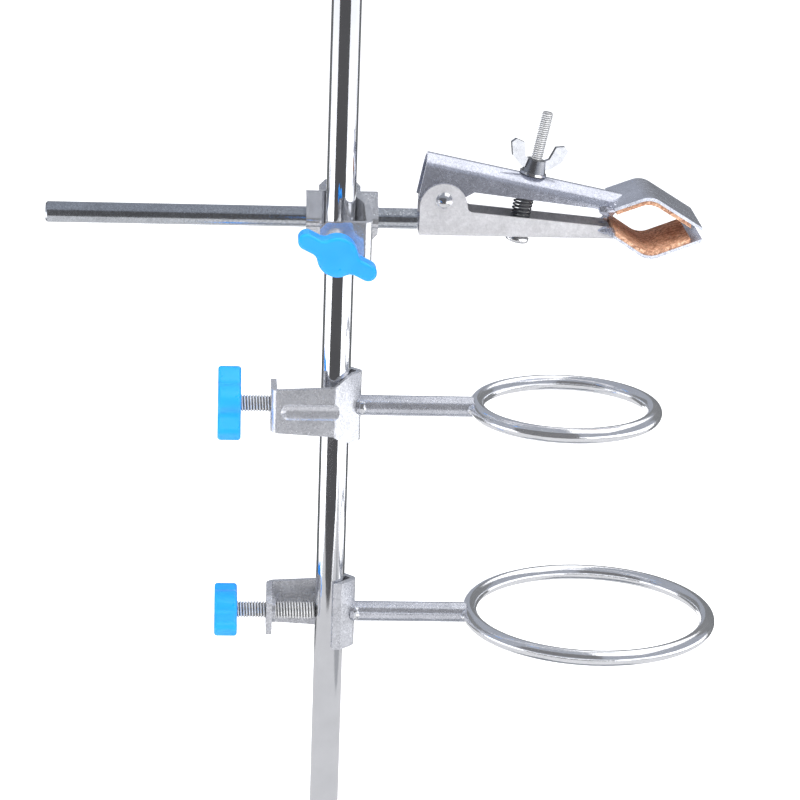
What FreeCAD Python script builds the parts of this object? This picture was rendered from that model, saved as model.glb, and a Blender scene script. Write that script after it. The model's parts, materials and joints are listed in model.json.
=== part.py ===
import FreeCAD, Part
import math
import os

import Sketcher
from FreeCAD import Placement, Rotation, Vector

# Retort stand: a weighted base with an upright rod, a boss head that carries a cork-lined
# clamp on a cross rod, and two ring supports.  Millimetres.  +X runs from the upright rod
# along the arms, +Y is the depth, +Z is up.  The origin is the middle of the footprint,
# on the surface that the feet stand on.

X_AXIS = Vector(1, 0, 0)
Y_AXIS = Vector(0, 1, 0)
Z_AXIS = Vector(0, 0, 1)

# Every driving dimension: sheet alias, value, meaning.
DIMENSIONS = (
    ("gap_fit", 0.05, "radial clearance of a turning or sliding fit"),
    ("gap_jaw", 0.1, "clearance between a V jaw and the rod it holds"),
    ("rod_x", -38.0, "upright rod axis"),
    ("rod_radius", 5.0, "upright rod"),
    ("rod_length", 500.0, "upright rod, over all"),
    ("rod_chamfer", 0.8, "upright rod, top end"),
    ("spigot_radius", 4.0, "threaded foot of the upright rod"),
    ("spigot_length", 9.5, "threaded foot of the upright rod"),
    ("foot_lift", 3.0, "height of the base plate above the bench"),
    ("base_length", 210.0, "base plate"),
    ("base_width", 135.0, "base plate"),
    ("base_thick", 8.0, "base plate"),
    ("base_corner", 14.0, "base plate, corner radius"),
    ("base_edge", 2.0, "base plate, top edge radius"),
    ("base_left", 35.0, "rod axis to the near short edge"),
    ("hub_radius", 15.0, "raised seat of the rod"),
    ("hub_rise", 3.0, "raised seat of the rod"),
    ("recess_radius", 12.0, "recess for the lock nut"),
    ("recess_depth", 7.5, "recess for the lock nut"),
    ("nut_across", 7.5, "lock nut, corner radius"),
    ("nut_height", 5.0, "lock nut"),
    ("washer_radius", 9.0, "lock washer"),
    ("washer_thick", 1.6, "lock washer"),
    ("foot_radius", 7.5, "rubber foot"),
    ("foot_inset", 16.0, "rubber foot from the base's edges"),
    ("foot_recess", 1.4, "screw head seat in a foot"),
    ("screw_radius", 2.0, "foot screw"),
    ("screw_head", 3.8, "foot screw, head radius"),
    ("screw_depth", 5.0, "foot screw, length in the base"),
    ("sheet", 2.0, "pressed clamp, sheet thickness"),
    ("bend_in", 1.0, "pressed clamp, inside bend radius"),
    ("bar_inner", 7.8, "pressed clamp, screw axis to bar"),
    ("leg_inner", 20.0, "pressed clamp, rod axis to leg"),
    ("leg_end", 7.5, "pressed clamp, screw axis to the leg's free end"),
    ("leg_half", 7.2, "pressed clamp, half height of the leg"),
    ("leg_chamfer", 2.2, "pressed clamp, corners of the leg"),
    ("bar_half", 8.6, "pressed clamp, half height where bar meets jaw"),
    ("jaw_half", 12.2, "pressed clamp, half height of the V jaw"),
    ("flare_start", -1.0, "pressed clamp, where the bar starts to flare to the jaw"),
    ("flare_end", 5.0, "pressed clamp, where the jaw is at full height"),
    ("blank_depth", 14.0, "pressed clamp, reach of its trimming outline"),
    ("flank_end", 2.4, "pressed clamp, free end of the V jaw"),
    ("bead_radius", 3.75, "stiffening bead, groove radius"),
    ("bead_depth", 1.2, "stiffening bead"),
    ("bead_start", 15.9, "stiffening bead, rod axis to the end's centre"),
    ("collar_radius", 4.4, "tapped collar inside the leg"),
    ("collar_rise", 1.2, "tapped collar inside the leg"),
    ("stud_radius", 2.95, "M6 clamp screw over the crests"),
    ("stud_length", 33.0, "M6 clamp screw"),
    ("stud_grip", 6.0, "length of the screw inside its knob"),
    ("stud_gap", 0.05, "screw tip to the rod it presses"),
    ("knob_radius", 6.7, "wing knob, body"),
    ("knob_thick", 7.9, "wing knob"),
    ("wing_reach", 14.1, "wing knob, axis to wing tip"),
    ("wing_round", 2.8, "wing knob, half width of a wing"),
    ("knob_blend", 3.0, "wing knob, body to wing fillet"),
    ("knob_edge", 1.1, "wing knob, edge fillet"),
    ("front_screw_off", 2.2, "boss front screw, off the rod's centre line"),
    ("rear_stud_length", 27.6, "boss rear screw"),
    ("arm_clamp_shift", 1.0, "boss rear clamp, off the rod's centre line"),
    ("arm_flank_end", 0.2, "boss rear clamp, free end of its V jaw"),
    ("boss_z", 352.0, "boss head and cross rod above the bench"),
    ("boss_spread", 17.0, "distance between the two clamp centres"),
    ("arm_radius", 3.5, "cross rod and ring arms"),
    ("arm_y", 14.9, "cross rod axis behind the upright rod"),
    ("arm_left", 99.0, "upright rod axis to the cross rod's free end"),
    ("arm_shoulder", 26.6, "upright rod axis to the cross rod's shoulder"),
    ("pin_radius", 2.6, "turned end of the cross rod"),
    ("pin_collar", 3.3, "peened collar of the turned end"),
    ("pin_collar_long", 1.4, "peened collar of the turned end"),
    ("block_left", 28.0, "bearing block in the lower arm"),
    ("block_right", 42.0, "bearing block in the lower arm"),
    ("block_top", 3.2, "bearing block in the lower arm"),
    ("arm_sheet", 0.9, "clamp arms, sheet thickness"),
    ("lower_half", 6.5, "lower arm, half width"),
    ("lower_floor", 4.3, "lower arm, cross rod axis to its underside"),
    ("lower_tip", 94.0, "lower arm, jaw end"),
    ("lower_tip_top", -0.6, "lower arm, height at the jaw end"),
    ("lower_neck", 88.0, "lower arm, where the tip starts"),
    ("lower_neck_top", 0.3, "lower arm, height there"),
    ("ear_x", 35.2, "ears, centre"),
    ("ear_z", 5.6, "ears, centre"),
    ("ear_radius", 8.1, "ears"),
    ("ear_blend", 2.0, "ears, fillet to the arm"),
    ("pivot_x", 35.3, "pivot rivet"),
    ("pivot_z", 7.9, "pivot rivet"),
    ("rivet_radius", 1.5, "pivot rivet"),
    ("rivet_head", 3.0, "pivot rivet, head radius"),
    ("rivet_dome", 1.5, "pivot rivet, head height"),
    ("tilt", 11.2, "upper arm and bolt, degrees from the lower arm"),
    ("upper_x", 29.5, "upper arm, back end of its ridge"),
    ("upper_z", 23.5, "upper arm, back end of its ridge"),
    ("upper_half", 5.5, "upper arm, half width"),
    ("upper_long", 68.0, "upper arm"),
    ("upper_back", 15.8, "upper arm, depth at its back end"),
    ("upper_lobe", 3.8, "upper arm, radius around the pivot"),
    ("slot_x", 18.1, "upper arm, start of the long cut-away"),
    ("slot_deep", 9.3, "upper arm, depth there"),
    ("neck_x", 59.6, "upper arm, end of the cut-away"),
    ("neck_deep", 5.9, "upper arm, depth there"),
    ("bolt_x", 61.4, "clamp bolt at the lower arm"),
    ("bolt_z", -3.8, "clamp bolt at the lower arm"),
    ("bolt_radius", 1.95, "M4 clamp bolt over the crests"),
    ("bolt_long", 42.5, "clamp bolt above the lower arm"),
    ("bolt_drop", 1.5, "clamp bolt, lower arm to the head"),
    ("head_radius", 4.0, "clamp bolt head"),
    ("head_thick", 1.9, "clamp bolt head"),
    ("head_slot", 1.0, "clamp bolt head, screwdriver slot"),
    ("bolt_play", 3.1, "bolt slot in the upper arm, half length"),
    ("ridge_run", 20.65, "lower arm to the top of the upper arm, along the bolt"),
    ("small_washer", 4.6, "washer under the wing nut"),
    ("small_thick", 0.8, "washer under the wing nut"),
    ("nut_base", 4.1, "wing nut, base radius"),
    ("nut_top", 3.3, "wing nut, top radius"),
    ("nut_rise", 4.4, "wing nut, body height"),
    ("nut_span", 10.2, "wing nut, axis to wing tip"),
    ("nut_wing", 10.4, "wing nut, height over all"),
    ("nut_blade", 1.7, "wing nut, wing thickness"),
    ("nut_corner", 1.4, "wing nut, cut corners of a wing"),
    ("nut_ear", 5.8, "wing nut, height of a wing's end"),
    ("nut_ear_wide", 4.4, "wing nut, width of a wing's end"),
    ("nut_turned", 12.0, "wing nut, degrees turned about the bolt at rest"),
    ("spring_outer", 3.45, "clamp spring"),
    ("spring_inner", 2.45, "clamp spring"),
    ("spring_from", 1.55, "clamp spring, lower end along the bolt"),
    ("spring_long", 15.7, "clamp spring"),
    ("jaw_sheet", 1.15, "clamp jaws, thickness measured upright"),
    ("jaw_wide", 14.5, "clamp jaws, half width"),
    ("jaw_left", 92.2, "clamp jaws, arm end"),
    ("jaw_bend", 104.4, "clamp jaws, bend"),
    ("jaw_right", 122.4, "clamp jaws, free end"),
    ("upper_jaw_left", 8.6, "upper jaw, height at the arm end"),
    ("upper_jaw_bend", 13.2, "upper jaw, height at the bend"),
    ("upper_jaw_right", 2.3, "upper jaw, height at the free end"),
    ("lower_jaw_left", -1.8, "lower jaw, underside at the arm end"),
    ("lower_jaw_bend", -9.6, "lower jaw, underside at the bend"),
    ("lower_jaw_right", -2.6, "lower jaw, underside at the free end"),
    ("jaw_round", 7.0, "clamp jaws, bend radius"),
    ("cork_thick", 1.5, "cork linings, measured upright"),
    ("cork_left", 93.0, "cork linings, arm end"),
    ("cork_right", 118.4, "cork linings, free end"),
    ("wire_radius", 2.65, "ring wire"),
    ("weld_in", 7.2, "rod axis to the clamp end of a ring arm"),
    ("upper_ring_z", 290.0, "upper ring"),
    ("upper_ring_reach", 78.9, "rod axis to the centre of the upper ring"),
    ("upper_ring_radius", 30.5, "upper ring, centre line of the wire"),
    ("lower_ring_z", 214.9, "lower ring"),
    ("lower_ring_reach", 90.5, "rod axis to the centre of the lower ring"),
    ("lower_ring_radius", 41.6, "lower ring, centre line of the wire"),
)

doc = FreeCAD.newDocument("RetortStand")
sheet_object = doc.addObject("Spreadsheet::Sheet", "Sizes")
sub_parts = []


class Size:
    """A number together with the sheet expression that gives it."""

    def __init__(self, value, text):
        self.value = value
        self.text = text

    def joined(self, other, sign, value):
        return Size(value, f"({self.text} {sign} {as_size(other).text})")

    def __add__(self, other):
        return self.joined(other, "+", self.value + as_size(other).value)

    def __sub__(self, other):
        return self.joined(other, "-", self.value - as_size(other).value)

    def __mul__(self, other):
        return self.joined(other, "*", self.value * as_size(other).value)

    def __truediv__(self, other):
        return self.joined(other, "/", self.value / as_size(other).value)

    def __neg__(self):
        return Size(-self.value, f"(0 - {self.text})")


def as_size(number):
    """The number itself if it is a Size, or a plain number made into one."""
    if isinstance(number, Size):
        return number
    return Size(float(number), f"({float(number):.6f})")


def fill_sheet():
    """Write the driving dimensions into the sheet and return them by name."""
    named = {}
    for row, (alias, value, meaning) in enumerate(DIMENSIONS, start=1):
        sheet_object.set(f"A{row}", meaning)
        sheet_object.set(f"B{row}", str(value))
        sheet_object.setAlias(f"B{row}", alias)
        named[alias] = Size(value, f"Sizes.{alias}")
    doc.recompute()
    return named


D = fill_sheet()


# ---------------------------------------------------------------- general helpers

def bind(thing, **sizes):
    """Bind properties of a document object to sizes."""
    for name, size in sizes.items():
        size = as_size(size)
        setattr(thing, name, size.value)
        thing.setExpression(name, size.text)
    return thing


def place(thing, x=0, y=0, z=0, turn=None):
    """Put a document object at a position, with an optional Rotation."""
    spot = [as_size(value) for value in (x, y, z)]
    base = Vector(*[size.value for size in spot])
    thing.Placement = Placement(base, turn if turn else Rotation())
    for letter, size in zip("xyz", spot):
        thing.setExpression(f"Placement.Base.{letter}", size.text)
    return thing


def along(axis):
    """The rotation that turns +Z onto an axis."""
    return Rotation(Z_AXIS, axis)


def box(name, length, width, height, x=0, y=0, z=0):
    solid = doc.addObject("Part::Box", name)
    bind(solid, Length=length, Width=width, Height=height)
    return place(solid, x, y, z)


def cylinder(name, radius, height, x=0, y=0, z=0, axis=Z_AXIS):
    solid = doc.addObject("Part::Cylinder", name)
    bind(solid, Radius=radius, Height=height)
    return place(solid, x, y, z, along(axis))


def sphere(name, radius, x=0, y=0, z=0):
    return place(bind(doc.addObject("Part::Sphere", name), Radius=radius), x, y, z)


def cut(name, base, tool):
    result = doc.addObject("Part::Cut", name)
    result.Base = base
    result.Tool = tool
    return result


def common(name, base, tool):
    result = doc.addObject("Part::Common", name)
    result.Base = base
    result.Tool = tool
    return result


def fuse(name, pieces):
    result = doc.addObject("Part::MultiFuse", name)
    result.Shapes = pieces
    result.Refine = True
    return result


def group(name, pieces):
    """Separate solids kept in one object."""
    result = doc.addObject("Part::Compound", name)
    result.Links = pieces
    return result


def ring(name, outer, inner, height, z=0):
    """A flat ring standing on z."""
    disc = cylinder(name + "_disc", outer, height, z=z)
    bore = cylinder(name + "_bore", inner, as_size(height) + 2, z=as_size(z) - 1)
    return cut(name, disc, bore)


SKETCH_TURNS = {
    "XY": Rotation(),
    "XZ": Rotation(X_AXIS, 90),
    "YZ": Rotation(Vector(1, 1, 1), 120),
}


def draw_outline(sketch, corners):
    """Draw a closed outline through corners given as pairs of sizes, and bind each."""
    spots = [(as_size(x), as_size(y)) for x, y in corners]
    points = [Vector(x.value, y.value, 0) for x, y in spots]
    count = len(points)
    for i in range(count):
        line = Part.LineSegment(points[i], points[(i + 1) % count])
        sketch.addGeometry(line, False)
    for i in range(count):
        joint = Sketcher.Constraint("Coincident", i, 2, (i + 1) % count, 1)
        sketch.addConstraint(joint)
    for i, (x, y) in enumerate(spots):
        for kind, size in (("DistanceX", x), ("DistanceY", y)):
            number = sketch.addConstraint(Sketcher.Constraint(kind, -1, 1, i, 1, size.value))
            sketch.setExpression(f"Constraints[{number}]", size.text)


def prism(name, plane, corners, depth):
    """An outline pushed out by half the depth to each side of its plane."""
    sketch = doc.addObject("Sketcher::SketchObject", name + "_outline")
    sketch.Placement = Placement(Vector(), SKETCH_TURNS[plane])
    draw_outline(sketch, corners)
    solid = doc.addObject("Part::Extrusion", name)
    solid.Base = sketch
    solid.DirMode = "Normal"
    solid.Solid = True
    solid.Symmetric = True
    bind(solid, LengthFwd=depth)
    return solid


def edges_near(thing, test):
    """Numbers of the edges whose middle point and direction pass a test."""
    doc.recompute()
    found = []
    for number, edge in enumerate(thing.Shape.Edges, start=1):
        middle = edge.valueAt((edge.FirstParameter + edge.LastParameter) / 2)
        chord = edge.Vertexes[-1].Point - edge.Vertexes[0].Point
        if test(middle, chord):
            found.append(number)
    return found


def rounded(name, base, test, radius):
    """Fillet the edges that pass a test, with a radius bound to nothing but its value."""
    size = as_size(radius)
    result = doc.addObject("Part::Fillet", name)
    result.Base = base
    result.Edges = [(n, size.value, size.value) for n in edges_near(base, test)]
    return result


def close(a, b, reach=0.05):
    return abs(a - b) < reach


def stadium(name, half_long, radius, height, z=0):
    """A block with round ends: half_long is from the middle to an end's centre."""
    half_long = as_size(half_long)
    radius = as_size(radius)
    bar = box(name + "_bar", half_long * 2, radius * 2, height, -half_long, -radius, z)
    ends = [
        cylinder(f"{name}_end_{i}", radius, height, half_long * side, 0, z)
        for i, side in enumerate((-1, 1))
    ]
    return fuse(name, [bar] + ends)


def sub_part(thing, label):
    """Give a finished sub-part its own label, which names its file."""
    thing.Label = label
    sub_parts.append(thing)
    return thing


def body_sketch(body, name, role):
    """A sketch on one of a body's own origin planes."""
    sketch = body.newObject("Sketcher::SketchObject", name)
    planes = [f for f in body.Origin.OriginFeatures if f.Role == role]
    sketch.AttachmentSupport = [(planes[0], "")]
    sketch.MapMode = "FlatFace"
    return sketch


def add_circle(sketch, radius, x=0, y=0):
    """A circle with its radius and centre bound."""
    spot = [as_size(x), as_size(y)]
    radius = as_size(radius)
    centre = Vector(spot[0].value, spot[1].value, 0)
    number = sketch.addGeometry(Part.Circle(centre, Z_AXIS, radius.value), False)
    size = sketch.addConstraint(Sketcher.Constraint("Radius", number, radius.value))
    sketch.setExpression(f"Constraints[{size}]", radius.text)
    for kind, value in zip(("DistanceX", "DistanceY"), spot):
        size = sketch.addConstraint(Sketcher.Constraint(kind, -1, 1, number, 3, value.value))
        sketch.setExpression(f"Constraints[{size}]", value.text)


# ---------------------------------------------------------------- base and upright rod

def foot_spots():
    """Centres of the four feet, measured from the rod axis."""
    left = D["foot_inset"] - D["base_left"]
    right = D["base_length"] - D["base_left"] - D["foot_inset"]
    side = D["base_width"] / 2 - D["foot_inset"]
    return [(x, y) for x in (left, right) for y in (-side, side)]


def make_base_plate():
    """Cast plate with a raised seat for the rod and a recess for its lock nut."""
    body = doc.addObject("PartDesign::Body", "base_plate")
    slab = body_sketch(body, "slab_outline", "XY_Plane")
    left = -D["base_left"]
    right = D["base_length"] - D["base_left"]
    side = D["base_width"] / 2
    draw_outline(slab, [(left, -side), (right, -side), (right, side), (left, side)])
    pad = body.newObject("PartDesign::Pad", "slab")
    pad.Profile = slab
    bind(pad, Length=D["base_thick"])
    corners = body.newObject("PartDesign::Fillet", "slab_corners")
    upright = edges_near(pad, lambda middle, chord: chord.getAngle(Z_AXIS) % math.pi < 0.01)
    corners.Base = (pad, [f"Edge{n}" for n in upright])
    bind(corners, Radius=D["base_corner"])
    seat = body_sketch(body, "seat_outline", "XY_Plane")
    add_circle(seat, D["hub_radius"])
    hub = body.newObject("PartDesign::Pad", "seat")
    hub.Profile = seat
    bind(hub, Length=D["base_thick"] + D["hub_rise"])
    top = D["base_thick"].value
    rim = body.newObject("PartDesign::Fillet", "top_edge")
    on_rim = edges_near(hub, lambda middle, chord: close(middle.z, top)
                        and math.hypot(middle.x, middle.y) > 1.1 * D["hub_radius"].value)
    rim.Base = (hub, [f"Edge{n}" for n in on_rim])
    bind(rim, Radius=D["base_edge"])
    bore = body_sketch(body, "bore_outline", "XY_Plane")
    add_circle(bore, D["spigot_radius"] + D["gap_fit"])
    drill_up(body, "bore", bore, D["base_thick"] + D["hub_rise"] + 1)
    recess = body_sketch(body, "recess_outline", "XY_Plane")
    add_circle(recess, D["recess_radius"])
    drill_up(body, "recess", recess, D["recess_depth"])
    holes = body_sketch(body, "screw_hole_outlines", "XY_Plane")
    for x, y in foot_spots():
        add_circle(holes, D["screw_radius"], x, y)
    drill_up(body, "screw_holes", holes, D["screw_depth"])
    place(body, D["rod_x"], 0, D["foot_lift"])
    sub_part(body, "base_plate")


def drill_up(body, name, sketch, depth):
    """A pocket that goes up from the underside, checked to remove material."""
    doc.recompute()
    before = body.Tip.Shape.Volume
    pocket = body.newObject("PartDesign::Pocket", name)
    pocket.Profile = sketch
    pocket.Reversed = True
    bind(pocket, Length=depth)
    doc.recompute()
    if pocket.Shape.Volume >= before:
        raise RuntimeError(f"{name} removes nothing")


def make_feet():
    """Four rubber feet and the four screws that hold them, each set in one node."""
    feet = []
    screws = []
    for i, (x, y) in enumerate(foot_spots()):
        puck = cylinder(f"foot_puck_{i}", D["foot_radius"], D["foot_lift"])
        hole = cylinder(f"foot_hole_{i}", D["screw_radius"], D["foot_lift"] + 2, z=-1)
        seat = cylinder(f"foot_seat_{i}", D["screw_head"] + D["gap_fit"], D["foot_recess"])
        foot = cut(f"foot_{i}", puck, fuse(f"foot_openings_{i}", [hole, seat]))
        feet.append(place(foot, D["rod_x"] + x, y, 0))
        head_low = 0.5
        head = cylinder(f"screw_head_{i}", D["screw_head"], D["foot_recess"] - head_low, z=head_low)
        shank_long = D["foot_lift"] + D["screw_depth"] - D["foot_recess"]
        shank = cylinder(f"screw_shank_{i}", D["screw_radius"], shank_long, z=D["foot_recess"])
        screws.append(place(fuse(f"screw_{i}", [head, shank]), D["rod_x"] + x, y, 0))
    sub_part(group("rubber_feet", feet), "rubber_feet")
    sub_part(group("foot_screws", screws), "foot_screws")


def make_upright_rod():
    """Turned rod: a threaded spigot below a shoulder that stands on the base."""
    body = doc.addObject("PartDesign::Body", "upright_rod")
    profile = body_sketch(body, "rod_profile", "XZ_Plane")
    top = D["rod_length"] - D["spigot_length"]
    draw_outline(profile, [
        (0, -D["spigot_length"]),
        (D["spigot_radius"], -D["spigot_length"]),
        (D["spigot_radius"], 0),
        (D["rod_radius"], 0),
        (D["rod_radius"], top - D["rod_chamfer"]),
        (D["rod_radius"] - D["rod_chamfer"], top),
        (0, top),
    ])
    turned = body.newObject("PartDesign::Revolution", "turned_rod")
    turned.Profile = profile
    turned.ReferenceAxis = (profile, ["V_Axis"])
    turned.Angle = 360
    place(body, D["rod_x"], 0, D["foot_lift"] + D["base_thick"] + D["hub_rise"])
    sub_part(body, "upright_rod")


def make_rod_lock():
    """The washer and nut under the base that hold the rod upright."""
    ceiling = D["foot_lift"] + D["recess_depth"]
    washer_z = ceiling - D["washer_thick"]
    bore = D["spigot_radius"] + D["gap_fit"]
    washer = ring("lock_washer", D["washer_radius"], bore, D["washer_thick"])
    sub_part(place(washer, D["rod_x"], 0, washer_z), "rod_lock_washer")
    hexagon = doc.addObject("Part::Prism", "nut_hexagon")
    hexagon.Polygon = 6
    bind(hexagon, Circumradius=D["nut_across"], Height=D["nut_height"])
    hole = cylinder("nut_hole", bore, D["nut_height"] + 2, z=-1)
    nut = cut("lock_nut", hexagon, hole)
    sub_part(place(nut, D["rod_x"], 0, washer_z - D["nut_height"]), "rod_lock_nut")


# ---------------------------------------------------------------- pressed clamp

def clamp_strip(name, flank_end):
    """The bent strip: leg, bar and V jaw.  The V points to +X and the bar is at -Y."""
    sheet = D["sheet"]
    root_two = math.sqrt(2)
    tip_in = (D["rod_radius"] + D["gap_jaw"]) * root_two
    tip_out = tip_in + sheet * root_two
    bar_out = D["bar_inner"] + sheet
    leg_out = D["leg_inner"] + sheet
    half = sheet / root_two
    corners = [
        (-leg_out, D["leg_end"]),
        (-leg_out, -bar_out),
        (tip_out - bar_out, -bar_out),
        (tip_out, 0),
        (flank_end + half, tip_out - flank_end - half),
        (flank_end - half, tip_in - flank_end + half),
        (tip_in, 0),
        (tip_in - D["bar_inner"], -D["bar_inner"]),
        (-D["leg_inner"], -D["bar_inner"]),
        (-D["leg_inner"], D["leg_end"]),
    ]
    strip = prism(name + "_strip", "XY", corners, D["jaw_half"] * 2)
    inner_bends = [corners[6], corners[7], corners[8]]
    outer_bends = [corners[1], corners[2], corners[3]]
    soft = rounded(name + "_inside", strip, upright_at(inner_bends), D["bend_in"])
    return rounded(name + "_bent", soft, upright_at(outer_bends), D["bend_in"] + sheet)


def upright_at(corners):
    """A test for the upright edges that stand on given corners."""
    spots = [(as_size(x).value, as_size(y).value) for x, y in corners]

    def test(middle, chord):
        stands = math.hypot(chord.x, chord.y) < 0.01
        return stands and any(close(middle.x, x) and close(middle.y, y) for x, y in spots)

    return test


def clamp_blank(name):
    """What the side view leaves: a low leg and a bar that flares into the tall jaw."""
    reach = D["leg_inner"] + 6
    jaw = D["jaw_half"]
    flare = D["flare_end"]
    flare_from = D["flare_start"]
    depth = D["blank_depth"]
    side = prism(name + "_side", "XZ", [
        (-reach, -D["leg_half"]),
        (flare_from, -D["bar_half"]),
        (flare, -jaw),
        (depth, -jaw),
        (depth, jaw),
        (flare, jaw),
        (flare_from, D["bar_half"]),
        (-reach, D["leg_half"]),
    ], depth)
    place(side, 0, -depth / 2, 0)
    leg = prism(name + "_leg_side", "YZ", [
        (-depth, -D["leg_half"]),
        (D["leg_end"] - D["leg_chamfer"], -D["leg_half"]),
        (D["leg_end"], D["leg_chamfer"] - D["leg_half"]),
        (D["leg_end"], D["leg_half"] - D["leg_chamfer"]),
        (D["leg_end"] - D["leg_chamfer"], D["leg_half"]),
        (-depth, D["leg_half"]),
    ], 8)
    place(leg, -D["leg_inner"], 0, 0)
    far = box(name + "_far_side", depth * 2, depth, jaw * 2, -depth / 2, 0, -jaw)
    return fuse(name + "_blank", [side, leg, far])


def capsule(name, radius):
    """The round-ended bar that forms the bead; it lies outside the clamp's bar."""
    axis_y = -(D["bar_inner"] + D["sheet"] + D["bead_radius"] - D["bead_depth"])
    start = -D["bead_start"]
    run = cylinder(name + "_run", radius, D["bead_start"], start, axis_y, 0, X_AXIS)
    ends = [sphere(f"{name}_end_{i}", radius, x, axis_y, 0) for i, x in enumerate((start, 0))]
    return fuse(name, [run] + ends)


def make_pressed_clamp(label, x, y, z, turn, flank_end=None, screw_off=0, weld_to=None):
    """One pressed C clamp, placed with its rod axis at x, y, z."""
    strip = clamp_strip(label, flank_end or D["flank_end"])
    shape = common(label + "_trimmed", strip, clamp_blank(label))
    bump_body = capsule(label + "_bump_form", D["bead_radius"] + D["sheet"])
    bump_room = box(label + "_bump_room", D["leg_inner"] + 0.5, 2.5, 16,
                    -D["leg_inner"], -D["bar_inner"] - 0.5, -8)
    bump = common(label + "_bump", bump_body, bump_room)
    collar = cylinder(label + "_collar", D["collar_radius"], D["collar_rise"] + 0.5,
                      -D["leg_inner"] - 0.5, screw_off, 0, X_AXIS)
    pressed = fuse(label + "_pressed", [shape, bump, collar])
    groove = capsule(label + "_groove", D["bead_radius"])
    hole = cylinder(label + "_hole", D["stud_radius"] + D["gap_fit"], 8,
                    -D["leg_inner"] - 5, screw_off, 0, X_AXIS)
    clamp = cut(label + "_clamp", pressed, fuse(label + "_openings", [groove, hole]))
    place(clamp, x, y, z, turn)
    if weld_to:
        clamp = cut(label + "_welded", clamp, weld_to)
    return sub_part(clamp, label)


# ---------------------------------------------------------------- wing screws

def make_wing_screw(name, x, y, z, outward, knob_turn, length=None):
    """A threaded stud and its wing knob; x, y, z is the stud's tip."""
    length = length or D["stud_length"]
    stud = cylinder(name + "_stud_body", D["stud_radius"], length)
    tip_chamfer = rounded(name + "_stud", stud,
                          lambda middle, chord: close(middle.z, 0), 0.6)
    sub_part(place(tip_chamfer, x, y, z, along(outward)), name + "_stud")
    body = cylinder(name + "_knob_body", D["knob_radius"], D["knob_thick"])
    wings = stadium(name + "_wings", D["wing_reach"] - D["wing_round"], D["wing_round"],
                    D["knob_thick"])
    blank = fuse(name + "_knob_blank", [body, wings])
    reach = D["knob_radius"].value

    def junction(middle, chord):
        stands = math.hypot(chord.x, chord.y) < 0.01 and abs(chord.z) > 1
        return stands and close(math.hypot(middle.x, middle.y), reach)

    blended = rounded(name + "_knob_blended", blank, junction, D["knob_blend"])
    thick = D["knob_thick"].value
    soft = rounded(name + "_knob_soft", blended,
                   lambda middle, chord: close(middle.z, 0) or close(middle.z, thick),
                   D["knob_edge"])
    bore = cylinder(name + "_knob_bore", D["stud_radius"] + D["gap_fit"],
                    D["stud_grip"] + 1.3, z=-1)
    knob = cut(name + "_knob", soft, bore)
    inner_face = length - D["stud_grip"]
    turned = along(outward).multiply(Rotation(Z_AXIS, knob_turn))
    place(knob, inner_face * outward.x + x, inner_face * outward.y + y,
          inner_face * outward.z + z, turned)
    sub_part(knob, name + "_knob")


# ---------------------------------------------------------------- boss head

def make_boss_head():
    """Two pressed clamps back to back, welded at their V tips, and their wing screws."""
    to_back = Rotation(Z_AXIS, 90)
    rod_clamp = make_pressed_clamp("boss_rod_clamp", D["rod_x"], 0, D["boss_z"], to_back,
                                   screw_off=D["front_screw_off"])
    to_front_bar_down = Rotation(-Y_AXIS, Z_AXIS, -X_AXIS, "XYZ")
    rear_x = D["rod_x"] + D["arm_clamp_shift"]
    make_pressed_clamp("boss_arm_clamp", rear_x, D["boss_spread"], D["boss_z"],
                       to_front_bar_down, D["arm_flank_end"], weld_to=rod_clamp)
    front_x = D["rod_x"] - D["front_screw_off"]
    front_tip = -(D["rod_radius"] + D["stud_gap"])
    make_wing_screw("boss_front", front_x, front_tip, D["boss_z"], -Y_AXIS, -26.5)
    rear_tip = D["arm_y"] + D["arm_radius"] + D["stud_gap"]
    make_wing_screw("boss_rear", rear_x, rear_tip, D["boss_z"], Y_AXIS, 90,
                    D["rear_stud_length"])


# ---------------------------------------------------------------- cork clamp

def clamp_place(thing, x=0, z=0, turn=None):
    """Place a piece of the cork clamp, measured from the rod and the cross rod's axis."""
    return place(thing, D["rod_x"] + x, D["arm_y"], D["boss_z"] + z, turn)


def tilted():
    return Rotation(Y_AXIS, D["tilt"].value)


def make_cross_rod():
    """Rod with a turned end that carries the clamp and lets it swivel."""
    body = doc.addObject("PartDesign::Body", "cross_rod")
    profile = body_sketch(body, "cross_rod_profile", "XY_Plane")
    pin_end = D["block_right"] + D["gap_fit"]
    collar_end = pin_end + D["pin_collar_long"]
    chamfer = 0.6
    draw_outline(profile, [
        (-D["arm_left"], 0),
        (collar_end, 0),
        (collar_end, D["pin_collar"]),
        (pin_end, D["pin_collar"]),
        (pin_end, D["pin_radius"]),
        (D["arm_shoulder"], D["pin_radius"]),
        (D["arm_shoulder"], D["arm_radius"]),
        (chamfer - D["arm_left"].value, D["arm_radius"]),
        (-D["arm_left"], D["arm_radius"] - chamfer),
    ])
    turned = body.newObject("PartDesign::Revolution", "turned_cross_rod")
    turned.Profile = profile
    turned.ReferenceAxis = (profile, ["H_Axis"])
    turned.Angle = 360
    sub_part(clamp_place(body), "cross_rod")


def make_bearing_block():
    """The block inside the lower arm that the cross rod's turned end runs in."""
    half = D["lower_half"] - D["arm_sheet"]
    floor = D["lower_floor"] - D["arm_sheet"]
    block = box("block_body", D["block_right"] - D["block_left"], half * 2,
                D["block_top"] + floor, D["block_left"], -half, -floor)
    bore = cylinder("block_bore", D["pin_radius"] + D["gap_fit"],
                    D["block_right"] - D["block_left"] + 2, D["block_left"] - 1, 0, 0, X_AXIS)
    sub_part(clamp_place(cut("bearing_block", block, bore)), "rod_bearing_block")


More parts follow.
